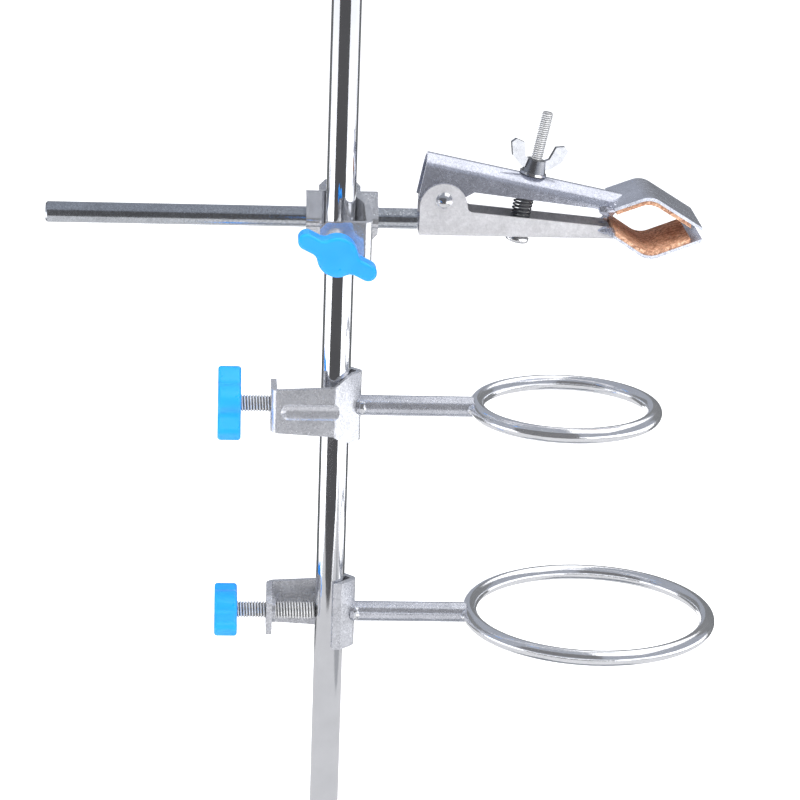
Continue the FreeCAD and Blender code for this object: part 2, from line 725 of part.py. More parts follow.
def make_lower_arm():
    """Channel, mouth up, with two round ears and a tapering front."""
    half = D["lower_half"]
    side = prism("lower_side", "XZ", [
        (D["ear_x"] - D["ear_radius"], -D["lower_floor"]),
        (D["lower_tip"], -D["lower_floor"]),
        (D["lower_tip"], D["lower_tip_top"]),
        (D["lower_neck"], D["lower_neck_top"]),
        (D["ear_x"] - D["ear_radius"], D["ear_z"]),
    ], half * 2)
    ears = cylinder("lower_ears", D["ear_radius"], half * 2, D["ear_x"], half, D["ear_z"],
                    -Y_AXIS)
    blank = fuse("lower_blank", [side, ears])

    def throat(middle, chord):
        across = abs(chord.y) > 1 and abs(chord.x) < 0.01
        return across and D["ear_x"].value < middle.x < D["block_right"].value + 4 and middle.z > 0

    blended = rounded("lower_blended", blank, throat, D["ear_blend"])
    floor = -D["lower_floor"].value

    def floor_edge(middle, chord):
        return close(middle.z, floor) and abs(chord.x) > 10

    bent = rounded("lower_bent", blended, floor_edge, D["arm_sheet"] + 0.5)
    inner = D["lower_half"] - D["arm_sheet"]
    room = box("lower_room", 100, inner * 2, 40, 10, -inner, D["arm_sheet"] - D["lower_floor"])
    rivet_hole = cylinder("lower_rivet_hole", D["rivet_radius"], 20, D["pivot_x"], 10,
                          D["pivot_z"], -Y_AXIS)
    bolt_hole = cylinder("lower_bolt_hole", D["bolt_radius"] + 0.5, 6, D["bolt_x"], 0,
                         D["bolt_z"] - 3)
    over_jaw = prism("lower_over_jaw", "XZ", jaw_band("lower", 0, 9), D["jaw_wide"] * 2)
    openings = fuse("lower_openings", [room, rivet_hole, bolt_hole, over_jaw])
    sub_part(clamp_place(cut("lower_arm", bent, openings)), "clamp_lower_arm")


def bullet(name, half):
    """A long bar with a half-round top: the section of the upper arm."""
    over = 5
    long = D["upper_long"] + over * 2
    centre = -D["upper_half"]
    run = cylinder(name + "_top", half, long, -over, 0, centre, X_AXIS)
    deep = D["upper_back"] + over
    block = box(name + "_sides", long, half * 2, deep, -over, -half, centre - deep)
    return fuse(name, [run, block])


def make_upper_arm():
    """Channel, mouth down, with a round back; its own frame has the ridge along +X."""
    turn = math.radians(D["tilt"].value)
    dx = D["pivot_x"] - D["upper_x"]
    dz = D["pivot_z"] - D["upper_z"]
    pivot_along = dx * math.cos(turn) - dz * math.sin(turn)
    pivot_deep = dx * math.sin(turn) + dz * math.cos(turn)
    lobe = D["upper_lobe"]
    side = prism("upper_side", "XZ", [
        (0, 0),
        (D["upper_long"], 0),
        (D["upper_long"], -D["neck_deep"]),
        (D["neck_x"], -D["neck_deep"]),
        (D["slot_x"], -D["slot_deep"]),
        (pivot_along + lobe, pivot_deep),
        (pivot_along, pivot_deep - lobe),
        (0, -D["upper_back"]),
    ], D["upper_half"] * 2)
    disc = cylinder("upper_lobe", lobe, D["upper_half"] * 2, pivot_along, D["upper_half"],
                    pivot_deep, -Y_AXIS)
    blank = fuse("upper_blank", [side, disc])
    shell = common("upper_shell", blank, bullet("upper_outer", D["upper_half"]))
    room = bullet("upper_room", D["upper_half"] - D["arm_sheet"])
    rivet_hole = cylinder("upper_rivet_hole", D["rivet_radius"] + D["gap_fit"], 20,
                          pivot_along, 10, pivot_deep, -Y_AXIS)
    bolt_along = bolt_seat_along()
    slot = stadium("upper_bolt_slot", D["bolt_play"] - D["bolt_radius"] + 0.3,
                   D["bolt_radius"] + 0.3, 8, -6)
    place(slot, bolt_along, 0, 0)
    openings = fuse("upper_openings", [room, rivet_hole, slot])
    arm = cut("upper_arm_straight", shell, openings)
    clamp_place(arm, D["upper_x"], D["upper_z"], tilted())
    under_jaw = prism("upper_under_jaw", "XZ", jaw_band("upper", 0, -12), D["jaw_wide"] * 2)
    clamp_place(under_jaw, turn=SKETCH_TURNS["XY"])
    sub_part(cut("upper_arm", arm, under_jaw), "clamp_upper_arm")


def bolt_seat_along():
    """Distance along the upper arm's ridge at which the bolt crosses it."""
    turn = math.radians(D["tilt"].value)
    dx = D["bolt_x"] - D["upper_x"]
    dz = D["bolt_z"] - D["upper_z"]
    return dx * math.cos(turn) - dz * math.sin(turn)


def make_pivot_rivet():
    """Rivet across the ears, with a domed head on each side."""
    half = D["lower_half"]
    radius = D["rivet_head"]
    dome = D["rivet_dome"]
    ball_radius = (radius * radius + dome * dome) / (dome * 2)
    pieces = [cylinder("rivet_shank", D["rivet_radius"], half * 2, 0, half, 0, -Y_AXIS)]
    for i, side in enumerate((-1, 1)):
        ball = sphere(f"rivet_ball_{i}", ball_radius, 0, (half + dome - ball_radius) * side, 0)
        room = box(f"rivet_room_{i}", 20, 10, 20, -10, half if side > 0 else -half - 10, -10)
        pieces.append(common(f"rivet_dome_{i}", ball, room))
    sub_part(clamp_place(fuse("rivet", pieces), D["pivot_x"], D["pivot_z"]), "pivot_rivet")


def bolt_place(thing, turn_about=0):
    """Place a piece whose own +Z is the bolt's axis."""
    turn = tilted().multiply(Rotation(Z_AXIS, turn_about))
    return clamp_place(thing, D["bolt_x"], D["bolt_z"], turn)


def make_clamp_bolt():
    """Screw with a slotted pan head below the lower arm."""
    shank = cylinder("bolt_shank", D["bolt_radius"], D["bolt_long"] + D["bolt_drop"],
                     z=-D["bolt_drop"])
    low = D["bolt_drop"] + D["head_thick"]
    head = cylinder("bolt_head_blank", D["head_radius"], D["head_thick"], z=-low)
    low_z = -low.value
    pan = rounded("bolt_head_pan", head, lambda middle, chord: close(middle.z, low_z), 1.3)
    slot = box("bolt_slot", 20, D["head_slot"], D["head_slot"], -10, -D["head_slot"] / 2, -low)
    head_cut = cut("bolt_head", pan, slot)
    sub_part(bolt_place(fuse("bolt", [shank, head_cut])), "clamp_bolt")


def make_wing_nut():
    """Washer and wing nut on the upper arm's ridge."""
    seat = D["ridge_run"]
    bore = D["bolt_radius"] + D["gap_fit"]
    washer = ring("small_washer", D["small_washer"], bore, D["small_thick"], seat)
    sub_part(bolt_place(washer), "wing_nut_washer")
    floor = seat + D["small_thick"]
    body = doc.addObject("Part::Cone", "nut_cone")
    bind(body, Radius1=D["nut_base"], Radius2=D["nut_top"], Height=D["nut_rise"])
    place(body, 0, 0, floor)
    span = D["nut_span"]
    rise = D["nut_wing"]
    corner = D["nut_corner"]
    pieces = [body]
    for i, side in enumerate((-1, 1)):
        blade = prism(f"nut_blade_{i}", "XZ", [
            (D["bolt_radius"] * side, floor + 0.6),
            ((D["nut_base"] + 1.0) * side, floor + 1.6),
            ((span - corner) * side, floor + rise - D["nut_ear"]),
            (span * side, floor + rise - corner),
            ((span - corner) * side, floor + rise),
            ((span - D["nut_ear_wide"]) * side, floor + rise - corner / 2),
            ((span - D["nut_ear"]) * side, floor + D["nut_rise"] + 0.8),
            (D["bolt_radius"] * side, floor + D["nut_rise"] - 0.6),
        ], D["nut_blade"])
        pieces.append(blade)
    hole = cylinder("nut_bore", bore, 30, z=floor - 5)
    nut = cut("wing_nut_body", fuse("nut_blank", pieces), hole)
    sub_part(bolt_place(nut, D["nut_turned"].value), "wing_nut")


def make_clamp_spring():
    """The room of the coil spring around the bolt, as a plain sleeve."""
    sleeve = ring("spring_sleeve", D["spring_outer"], D["spring_inner"], D["spring_long"],
                  D["spring_from"])
    sub_part(bolt_place(sleeve), "clamp_spring")


def jaw_line(which, x):
    """Height of a jaw's outer surface at x, on its two straight runs."""
    ends = [(D["jaw_left"], D[which + "_jaw_left"]), (D["jaw_bend"], D[which + "_jaw_bend"]),
            (D["jaw_right"], D[which + "_jaw_right"])]
    first, second = (ends[0], ends[1]) if as_size(x).value <= D["jaw_bend"].value else ends[1:]
    slope = (second[1] - first[1]) / (second[0] - first[0])
    return first[1] + slope * (as_size(x) - first[0])


def jaw_band(which, start, stop, left=None, right=None):
    """The V outline between two heights measured from a jaw's outer surface."""
    left = left or D["jaw_left"]
    right = right or D["jaw_right"]
    xs = (left, D["jaw_bend"], right)
    near = [(x, jaw_line(which, x) + start) for x in xs]
    far = [(x, jaw_line(which, x) + stop) for x in xs]
    return near + far[::-1]


def bent_plate(name, which, start, stop, left, right, wide):
    """A plate that follows the jaw's V, with a rounded bend."""
    plate = prism(name + "_flat", "XZ", jaw_band(which, start, stop, left, right), wide * 2)
    bend = D["jaw_bend"].value

    def at_bend(middle, chord):
        return close(middle.x, bend) and abs(chord.y) > 1

    return rounded(name, plate, at_bend, D["jaw_round"])


def make_jaws():
    """The two bent jaws and their cork linings."""
    for which, inward in (("lower", 1), ("upper", -1)):
        plate = bent_plate(which + "_jaw_plate", which, 0, D["jaw_sheet"] * inward,
                           D["jaw_left"], D["jaw_right"], D["jaw_wide"])
        sub_part(clamp_place(plate), which + "_jaw")
        cork = bent_plate(which + "_cork_plate", which, D["jaw_sheet"] * inward,
                          (D["jaw_sheet"] + D["cork_thick"]) * inward,
                          D["cork_left"], D["cork_right"], D["jaw_wide"] - 0.3)
        sub_part(clamp_place(cork), which + "_jaw_cork")


# ---------------------------------------------------------------- ring supports

def make_ring_support(which, bar_to_front, knob_turn):
    """Wire ring, its arm, the pressed clamp on the rod and the wing screw."""
    z = D[which + "_ring_z"]
    reach = D[which + "_ring_reach"]
    radius = D[which + "_ring_radius"]
    turn = Rotation() if bar_to_front else Rotation(X_AXIS, 180)
    clamp = make_pressed_clamp(which + "_ring_clamp", D["rod_x"], 0, z, turn)
    wire = doc.addObject("Part::Torus", which + "_wire")
    bind(wire, Radius1=radius, Radius2=D["wire_radius"])
    place(wire, D["rod_x"] + reach, 0, z)
    sub_part(wire, which + "_ring")
    end = reach - radius - 1.2
    arm = cylinder(which + "_arm_body", D["arm_radius"], end - D["weld_in"],
                   D["rod_x"] + D["weld_in"], 0, z, X_AXIS)
    notched = cut(which + "_arm_notched", arm, wire)
    sub_part(cut(which + "_arm", notched, clamp), which + "_ring_arm")
    tip = D["rod_x"] - D["rod_radius"] - D["stud_gap"]
    make_wing_screw(which + "_ring", tip, 0, z, -X_AXIS, knob_turn)


# ---------------------------------------------------------------- build and write

def check_document():
    """Stop if any object failed or any sub-part is empty, invalid or in the wrong count."""
    doc.recompute()
    for thing in doc.Objects:
        if "Invalid" in thing.State or "Error" in thing.State:
            raise RuntimeError(f"{thing.Name} failed: {thing.State}")
    for thing in sub_parts:
        shape = thing.Shape
        if shape.isNull() or not shape.isValid() or not shape.Solids:
            raise RuntimeError(f"{thing.Label} is empty or invalid")


def write_parts():
    os.makedirs("parts", exist_ok=True)
    for thing in sub_parts:
        thing.Shape.exportStep(f"parts/{thing.Label}.step")
        print(f"{thing.Label}: {len(thing.Shape.Solids)} solid(s), {thing.Shape.Volume:.0f} mm3")


make_base_plate()
make_feet()
make_upright_rod()
make_rod_lock()
make_boss_head()
make_cross_rod()
make_bearing_block()
make_lower_arm()
make_upper_arm()
make_pivot_rivet()
make_clamp_bolt()
make_wing_nut()
make_clamp_spring()
make_jaws()
make_ring_support("upper", True, 46.6)
make_ring_support("lower", False, 76.7)
check_document()
write_parts()
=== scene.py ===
import json
import math

import bpy
from mathutils import Matrix, Vector, noise


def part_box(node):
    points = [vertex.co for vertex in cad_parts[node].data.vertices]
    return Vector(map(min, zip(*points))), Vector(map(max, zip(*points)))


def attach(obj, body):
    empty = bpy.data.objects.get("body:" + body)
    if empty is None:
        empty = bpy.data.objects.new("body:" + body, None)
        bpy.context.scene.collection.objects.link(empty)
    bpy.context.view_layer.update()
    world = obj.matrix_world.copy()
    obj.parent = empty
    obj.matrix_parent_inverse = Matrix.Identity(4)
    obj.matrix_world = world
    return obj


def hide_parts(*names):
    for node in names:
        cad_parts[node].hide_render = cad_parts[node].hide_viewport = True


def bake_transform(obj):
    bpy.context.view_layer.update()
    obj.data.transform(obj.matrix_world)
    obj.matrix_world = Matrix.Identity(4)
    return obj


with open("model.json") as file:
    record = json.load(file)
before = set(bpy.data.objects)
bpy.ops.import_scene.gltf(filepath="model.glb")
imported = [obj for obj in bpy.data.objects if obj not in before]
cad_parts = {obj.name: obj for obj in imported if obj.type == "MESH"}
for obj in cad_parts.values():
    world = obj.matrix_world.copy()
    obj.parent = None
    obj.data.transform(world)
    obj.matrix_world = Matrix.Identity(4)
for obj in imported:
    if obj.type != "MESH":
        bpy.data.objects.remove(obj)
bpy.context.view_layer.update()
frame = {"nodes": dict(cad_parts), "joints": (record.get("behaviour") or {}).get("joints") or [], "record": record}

MM = 0.001
TURN = 2 * math.pi
UP = Vector((0, 0, 1))
SLOTS = {s["node"]: s["material_slot"] for s in frame["record"]["subparts"]}

# Screw threads: pitch, radius at the crests and radius at the roots.
M6 = {"pitch": 1.0 * MM, "crest": 2.95 * MM, "root": 2.25 * MM, "finish": "stud_thread"}
M4 = {"pitch": 0.7 * MM, "crest": 1.95 * MM, "root": 1.48 * MM, "finish": "bolt_thread"}

# The clamp's spring: wire radius, outer radius, half its length, and the bow of its middle.
SPRING_COILS = 13
SPRING_STEPS_PER_COIL = 28
SPRING_WIRE = 0.28 * MM
SPRING_OUTER = 3.45 * MM
SPRING_HALF = 7.6 * MM
SPRING_BOW = 0.88 * MM

# Places along the clamp bolt, from its foot: the thread starts a little inside the head.
HEAD_SEAT = -1.2 * MM
THREAD_START = HEAD_SEAT * 1.5

EDGE_ROUNDING = 0.28 * MM
NUT_ROUNDING = 0.45 * MM


def joint(name):
    """A joint of the record, by name."""
    return next(j for j in frame["joints"] if j["name"] == name)


def middle(node):
    """Middle of a CAD node's box."""
    low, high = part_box(node)
    return (low + high) / 2


ROD_X = middle("upright_rod").x


# ---------------------------------------------------------------- shader helpers

def new_material(name):
    """A material with its node tree and its Principled shader."""
    material = bpy.data.materials.new(name)
    material.use_nodes = True
    tree = material.node_tree
    return material, tree, tree.nodes["Principled BSDF"]


def add(tree, kind, **settings):
    """A node of a kind, with its properties set."""
    node = tree.nodes.new(kind)
    for key, value in settings.items():
        setattr(node, key, value)
    return node


def space(tree, scale=(1, 1, 1)):
    """Object coordinates, stretched by a scale."""
    place = add(tree, "ShaderNodeTexCoord")
    mapping = add(tree, "ShaderNodeMapping")
    mapping.inputs["Scale"].default_value = scale
    tree.links.new(place.outputs["Object"], mapping.inputs["Vector"])
    return mapping.outputs["Vector"]


def cloud(tree, vector, scale, detail=4, rough=0.5, distortion=0):
    """Noise; scale is in features per metre."""
    node = add(tree, "ShaderNodeTexNoise")
    node.inputs["Scale"].default_value = scale
    node.inputs["Detail"].default_value = detail
    node.inputs["Roughness"].default_value = rough
    node.inputs["Distortion"].default_value = distortion
    tree.links.new(vector, node.inputs["Vector"])
    return node.outputs["Fac"]


def cells(tree, vector, scale, feature="F1", output="Distance"):
    """Voronoi cells; scale is in cells per metre."""
    node = add(tree, "ShaderNodeTexVoronoi", feature=feature)
    node.inputs["Scale"].default_value = scale
    tree.links.new(vector, node.inputs["Vector"])
    return node.outputs[output]


def ramp(tree, source, stops):
    """A colour ramp; stops are (position, grey value or colour)."""
    node = add(tree, "ShaderNodeValToRGB")
    elements = node.color_ramp.elements
    while len(elements) < len(stops):
        elements.new(0.5)
    for element, (position, colour) in zip(elements, stops):
        element.position = position
        flat = (colour,) * 3 if isinstance(colour, (int, float)) else tuple(colour)
        element.color = (*flat, 1)
    tree.links.new(source, node.inputs["Fac"])
    return node.outputs["Color"]


def multiply(tree, first, second, share):
    """First colour darkened by the second, by a share."""
    node = add(tree, "ShaderNodeMix", data_type="RGBA", blend_type="MULTIPLY")
    node.inputs["Factor"].default_value = share
    colours = [s for s in node.inputs if s.type == "RGBA"]
    tree.links.new(first, colours[0])
    tree.links.new(second, colours[1])
    return next(s for s in node.outputs if s.type == "RGBA")


def bump(tree, shader, height, strength, distance, below=None):
    """A bump from a height, optionally on top of another bump's normal."""
    node = add(tree, "ShaderNodeBump")
    node.inputs["Strength"].default_value = strength
    node.inputs["Distance"].default_value = distance
    tree.links.new(height, node.inputs["Height"])
    if below:
        tree.links.new(below, node.inputs["Normal"])
    tree.links.new(node.outputs["Normal"], shader.inputs["Normal"])
    return node.outputs["Normal"]


def set_shader(shader, **values):
    """Set sockets by name, with _ for a space."""
    for key, value in values.items():
        shader.inputs[key.replace("_", " ")].default_value = value


def tone(colour, share):
    """A colour made darker by a share."""
    return [c * share for c in colour]


# ---------------------------------------------------------------- materials

def polished(name, colour, rough, stretch=(1, 1, 1), grain=900, mark=0.02, metal=1.0):
    """Bright plating: cloudy haze, drawn lines along one direction, uneven polish."""
    material, tree, shader = new_material(name)
    set_shader(shader, Metallic=metal)
    lines = space(tree, stretch)
    plain = space(tree)
    tint = ramp(tree, cloud(tree, plain, 110, 4), [(0.3, tone(colour, 0.93)), (0.7, colour)])
    tree.links.new(tint, shader.inputs["Base Color"])
    polish = ramp(tree, cloud(tree, lines, grain * 0.5, 5, 0.65),
                  [(0.35, rough[0]), (0.75, rough[1])])
    tree.links.new(polish, shader.inputs["Roughness"])
    waves = bump(tree, shader, cloud(tree, plain, 60, 2), 0.05, 0.0006)
    bump(tree, shader, cloud(tree, lines, grain, 4, 0.6), mark, 0.0004, waves)
    return material


def mottled(name, colour, rough, dark, speck=1500, dent=0.10, metal=1.0):
    """Barrel-plated sheet: fine bright and dark specks, small pits, soft dents."""
    material, tree, shader = new_material(name)
    set_shader(shader, Metallic=metal)
    plain = space(tree)
    specks = ramp(tree, cloud(tree, plain, speck, 8, 0.75, 0.4),
                  [(0.34, tone(colour, dark)), (0.52, tone(colour, (1 + dark) / 2)),
                   (0.66, colour)])
    stains = ramp(tree, cloud(tree, plain, 130, 5, 0.6), [(0.3, 0.80), (0.65, 1.0)])
    tree.links.new(multiply(tree, specks, stains, 0.8), shader.inputs["Base Color"])
    polish = ramp(tree, cloud(tree, plain, speck * 0.4, 6, 0.7),
                  [(0.3, rough[0]), (0.7, rough[1])])
    tree.links.new(polish, shader.inputs["Roughness"])
    pits = ramp(tree, cells(tree, plain, speck * 0.7), [(0.0, 0.0), (0.3, 1.0)])
    first = bump(tree, shader, pits, 0.12, 0.0002)
    bump(tree, shader, cloud(tree, plain, 140, 3), dent, 0.0012, first)
    return material


def thread_steel(name, root):
    """Plated screw thread: bright crests, with the roots painted darker as shade, from the mesh's own ridge value.
    """
    material, tree, shader = new_material(name)
    set_shader(shader, Metallic=0.6)
    ridge = add(tree, "ShaderNodeAttribute", attribute_name="ridge")
    # Painted shade: the lower a point sits in the thread, the darker its colour; the crests keep the plain bright
    # tone.
    root_shade = ramp(tree, ridge.outputs["Fac"], [(0.0, root), (0.35, 0.5 * root + 0.22), (0.75, 0.95)])
    plain = space(tree)
    haze = ramp(tree, cloud(tree, plain, 500, 4), [(0.3, 0.88), (0.7, 1.0)])
    tree.links.new(multiply(tree, root_shade, haze, 1.0), shader.inputs["Base Color"])
    polish = ramp(tree, cloud(tree, plain, 900, 4), [(0.3, 0.16), (0.7, 0.30)])
    tree.links.new(polish, shader.inputs["Roughness"])
    return material


def knob_plastic(name):
    """Glossy sky-blue moulding with faint flow marks."""
    material, tree, shader = new_material(name)
    plain = space(tree)
    tint = ramp(tree, cloud(tree, plain, 70, 2),
                [(0.3, (0.012, 0.30, 0.90)), (0.7, (0.024, 0.345, 0.95))])
    tree.links.new(tint, shader.inputs["Base Color"])
    set_shader(shader, IOR=1.5, Subsurface_Weight=0.25, Subsurface_Scale=0.004)
    shader.inputs["Subsurface Radius"].default_value = (0.2, 0.7, 1.0)
    gloss = ramp(tree, cloud(tree, plain, 300, 4), [(0.3, 0.26), (0.7, 0.40)])
    tree.links.new(gloss, shader.inputs["Roughness"])
    bump(tree, shader, cloud(tree, plain, 450, 3), 0.05, 0.0003)
    return material


def cork_grain(name):
    """Pressed cork: warm granules of uneven tone, dark gaps and freckles."""
    material, tree, shader = new_material(name)
    plain = space(tree)
    each = add(tree, "ShaderNodeSeparateColor")
    tree.links.new(cells(tree, plain, 1300, output="Color"), each.inputs["Color"])
    grain = ramp(tree, each.outputs["Red"], [
        (0.0, (0.36, 0.17, 0.105)), (0.45, (0.60, 0.325, 0.20)), (1.0, (0.82, 0.51, 0.34))])
    gaps = ramp(tree, cells(tree, plain, 1300, "DISTANCE_TO_EDGE"), [(0.0, 0.5), (0.10, 1.0)])
    body = multiply(tree, grain, gaps, 0.7)
    freckles = ramp(tree, cloud(tree, plain, 1100, 3), [(0.32, 0.35), (0.42, 1.0)])
    tree.links.new(multiply(tree, body, freckles, 0.7), shader.inputs["Base Color"])
    set_shader(shader, Roughness=0.85)
    first = bump(tree, shader, gaps, 0.5, 0.0003)
    bump(tree, shader, cloud(tree, plain, 2200, 4), 0.4, 0.0002, first)
    return material


def cast_enamel(name):
    """Stoved enamel over cast iron: orange-peel skin and dust-dull patches."""
    material, tree, shader = new_material(name)
    plain = space(tree)
    tint = ramp(tree, cloud(tree, plain, 25, 5),
                [(0.3, (0.105, 0.120, 0.135)), (0.7, (0.150, 0.165, 0.180))])
    tree.links.new(tint, shader.inputs["Base Color"])
    dust = ramp(tree, cloud(tree, plain, 60, 5), [(0.3, 0.28), (0.7, 0.42)])
    tree.links.new(dust, shader.inputs["Roughness"])
    first = bump(tree, shader, cloud(tree, plain, 330, 2), 0.22, 0.0006)
    bump(tree, shader, cloud(tree, plain, 45, 3), 0.12, 0.002, first)
    return material


def foot_rubber(name):
    """Moulded rubber with a fine grain."""
    material, tree, shader = new_material(name)
    plain = space(tree)
    tint = ramp(tree, cloud(tree, plain, 200, 4), [(0.3, 0.018), (0.7, 0.035)])
    tree.links.new(tint, shader.inputs["Base Color"])
    set_shader(shader, Roughness=0.75)
    bump(tree, shader, cloud(tree, plain, 1200, 4), 0.3, 0.0002)
    return material


def make_finishes():
    """Every finish, by the name used when painting."""
    bright = (0.86, 0.87, 0.90)
    return {
        "knob_plastic": knob_plastic("knob_plastic"),
        "chromed_rod": polished("chromed_rod", bright, (0.04, 0.12), (1, 1, 0.05), 700, 0.03),
        "chromed_ring": polished("chromed_ring", (0.96, 0.97, 1.0), (0.08, 0.20), mark=0.08,
                                 metal=0.93),
        "drawn_rod": mottled("drawn_rod", (0.90, 0.94, 1.0), (0.14, 0.28), 0.62, 1500, 0.05),
        "drawn_arm": mottled("drawn_arm", (0.90, 0.92, 1.0), (0.16, 0.32), 0.62, 1500, 0.05, 0.82),
        "cork": cork_grain("cork"),
        "foot_rubber": foot_rubber("foot_rubber"),
        "base_paint": cast_enamel("base_paint"),
        "pressed_steel": mottled("pressed_steel", (0.86, 0.87, 0.92), (0.16, 0.32), 0.58,
                                 metal=0.66),
        "boss_steel": mottled("boss_steel", (0.92, 0.93, 0.97), (0.07, 0.20), 0.62, metal=0.78),
        "satin_steel": mottled("satin_steel", (0.86, 0.85, 0.87), (0.34, 0.50), 0.74, 900,
                               metal=0.5),
        "plated_steel": mottled("plated_steel", (0.84, 0.87, 1.0), (0.16, 0.30), 0.58,
                                metal=0.85),
        "jaw_steel": mottled("jaw_steel", (0.86, 0.89, 1.0), (0.16, 0.30), 0.62, metal=0.82),
        "nut_steel": polished("nut_steel", (0.56, 0.57, 0.60), (0.18, 0.32)),
        # The second number is the tone of the painted shade at the bottom of the thread roots.
        "stud_thread": thread_steel("stud_thread", 0.16),
        "bolt_thread": thread_steel("bolt_thread", 0.55),
        "spring_steel": polished("spring_steel", (0.16, 0.16, 0.17), (0.25, 0.45)),
        "fastener_steel": polished("fastener_steel", (0.94, 0.94, 0.96), (0.14, 0.26)),
    }


FINISH_OF_NODE = {
    "cross_rod": "drawn_rod",
    "upper_ring_arm": "drawn_arm",
    "lower_ring_arm": "drawn_arm",
    "upper_ring": "chromed_ring",
    "lower_ring": "chromed_ring",
    "wing_nut": "nut_steel",
    "upper_jaw": "jaw_steel",
    "lower_jaw": "jaw_steel",
    "boss_rod_clamp": "boss_steel",
    "boss_arm_clamp": "boss_steel",
}

ROUNDED_NODES = ("wing_nut", "clamp_upper_arm", "clamp_lower_arm", "upper_jaw", "lower_jaw",
                 "boss_rod_clamp", "boss_arm_clamp", "upper_ring_clamp", "lower_ring_clamp")


def paint(thing, finish):
    """Give a piece one finish."""
    thing.data.materials.clear()
    thing.data.materials.append(FINISHES[finish])


def paint_cad_nodes():
    """Give each CAD node the finish of its slot, or the finer one named for it."""
    for name, node in frame["nodes"].items():
        paint(node, FINISH_OF_NODE.get(name, SLOTS[name]))


def round_sheet_edges():
    """A small rounding on the sheet parts and the wing nut, so that edges catch the light."""
    for name in ROUNDED_NODES:
        edge = frame["nodes"][name].modifiers.new("rounded_edges", "BEVEL")
        edge.width = NUT_ROUNDING if name == "wing_nut" else EDGE_ROUNDING
        edge.segments = 2
        edge.limit_method = "ANGLE"
        edge.angle_limit = math.radians(50)
        edge.harden_normals = True


# ---------------------------------------------------------------- meshes

def new_piece(name, points, faces, body, finish, replaces=()):
    """A smooth mesh piece that rides a body."""
    mesh = bpy.data.meshes.new(name)
    mesh.from_pydata([tuple(p) for p in points], [], faces)
    mesh.validate()
    mesh.shade_smooth()
    piece = bpy.data.objects.new(name, mesh)
    bpy.context.collection.objects.link(piece)
    paint(piece, finish)
    if body:
        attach(piece, body)
    if replaces:
        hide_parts(*replaces)
    return piece


def tube_faces(rows, around):
    """Quads between rows of points, with one face as a cap on each end."""
    faces = []
    for r in range(rows - 1):
        for a in range(around):
            b = (a + 1) % around
            faces.append((r * around + a, r * around + b, (r + 1) * around + b,
                          (r + 1) * around + a))
    faces.append(tuple(reversed(range(around))))
    faces.append(tuple(range((rows - 1) * around, rows * around)))
    return faces


def thread(name, start, axis, length, size, body, replaces=(), taper=1.5):
    """A screw thread: a cylinder whose radius follows a V with flat crests along a helix.

    The ridge is low at both ends and reaches its full height over taper pitches or less.
    """
    around = 36
    per_pitch = 8
    steepness = 1.25
    end_height = 0.25
    rows = int(length / size["pitch"] * per_pitch) + 1
    axis = Vector(axis).normalized()
    side = axis.orthogonal().normalized()
    other = axis.cross(side)
    points = []
    ridges = []
    for r in range(rows):
        along = length * r / (rows - 1)
        ends = min(along, length - along) / (taper * size["pitch"])
        for a in range(around):
            angle = TURN * a / around
            phase = (along / size["pitch"] - a / around) % 1
            ridge = min(1, steepness * (1 - abs(2 * phase - 1))) * min(1, end_height + ends)
            radius = size["root"] + (size["crest"] - size["root"]) * ridge
            out = side * math.cos(angle) + other * math.sin(angle)
            points.append(Vector(start) + axis * along + out * radius)
            ridges.append(ridge)
    piece = new_piece(name, points, tube_faces(rows, around), body, size["finish"],
                      replaces)
    heights = piece.data.attributes.new("ridge", "FLOAT", "POINT")
    heights.data.foreach_set("value", ridges)


def make_wing_screw_threads():
    """The four M6 studs; each turns with its knob."""
    for prefix in ("boss_front", "boss_rear", "upper_ring", "lower_ring"):
        low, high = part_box(prefix + "_stud")
        axis = Vector(joint(prefix + "_turn")["axis"])
        centre = (low + high) / 2
        span = abs((high - low).dot(axis))
        tip = centre - axis * span / 2
        thread(prefix + "_thread", tip, axis, span, M6, prefix + "_wing",
               (prefix + "_stud",), taper=1.0)


def tube(name, path, radius, body, finish, replaces=(), around=12):
    """A round wire along a path of points that winds around the bolt."""
    points = []
    for i, p in enumerate(path):
        ahead = path[min(i + 1, len(path) - 1)] - path[max(i - 1, 0)]
        side = ahead.cross(BOLT_AXIS).normalized()
        other = ahead.cross(side).normalized()
        for a in range(around):
            angle = TURN * a / around
            points.append(p + (side * math.cos(angle) + other * math.sin(angle)) * radius)
    return new_piece(name, points, tube_faces(len(path), around), body, finish, replaces)


BOLT_AXIS = Vector(joint("washer_slide")["axis"]).normalized()
BOLT_FOOT = Vector(joint("bolt_rock")["pos_m"])


def copied_part(name, node, keep, body, finish):
    """A piece made of those faces of a CAD node whose middle passes a test."""
    source = frame["nodes"][node].data
    faces = [f for f in source.polygons if keep(f.center)]
    used = sorted({v for f in faces for v in f.vertices})
    index = {v: i for i, v in enumerate(used)}
    points = [source.vertices[v].co.copy() for v in used]
    piece = new_piece(name, points, [[index[v] for v in f.vertices] for f in faces], body,
                      finish)
    piece.data.shade_flat()


def along_bolt(point):
    """How far along the clamp bolt a point lies, from the bolt's foot."""
    return (Vector(point) - BOLT_FOOT).dot(BOLT_AXIS)


def make_clamp_bolt():
    """The slotted head as drawn, with an M4 thread in place of the plain shank."""
    copied_part("clamp_bolt_head", "clamp_bolt", lambda c: along_bolt(c) < HEAD_SEAT,
                "clamp_bolt", "fastener_steel")
    reach = max(along_bolt(v.co) for v in frame["nodes"]["clamp_bolt"].data.vertices)
    thread("clamp_bolt_thread", BOLT_FOOT + BOLT_AXIS * THREAD_START, BOLT_AXIS,
           reach - THREAD_START, M4, "clamp_bolt", ("clamp_bolt",))


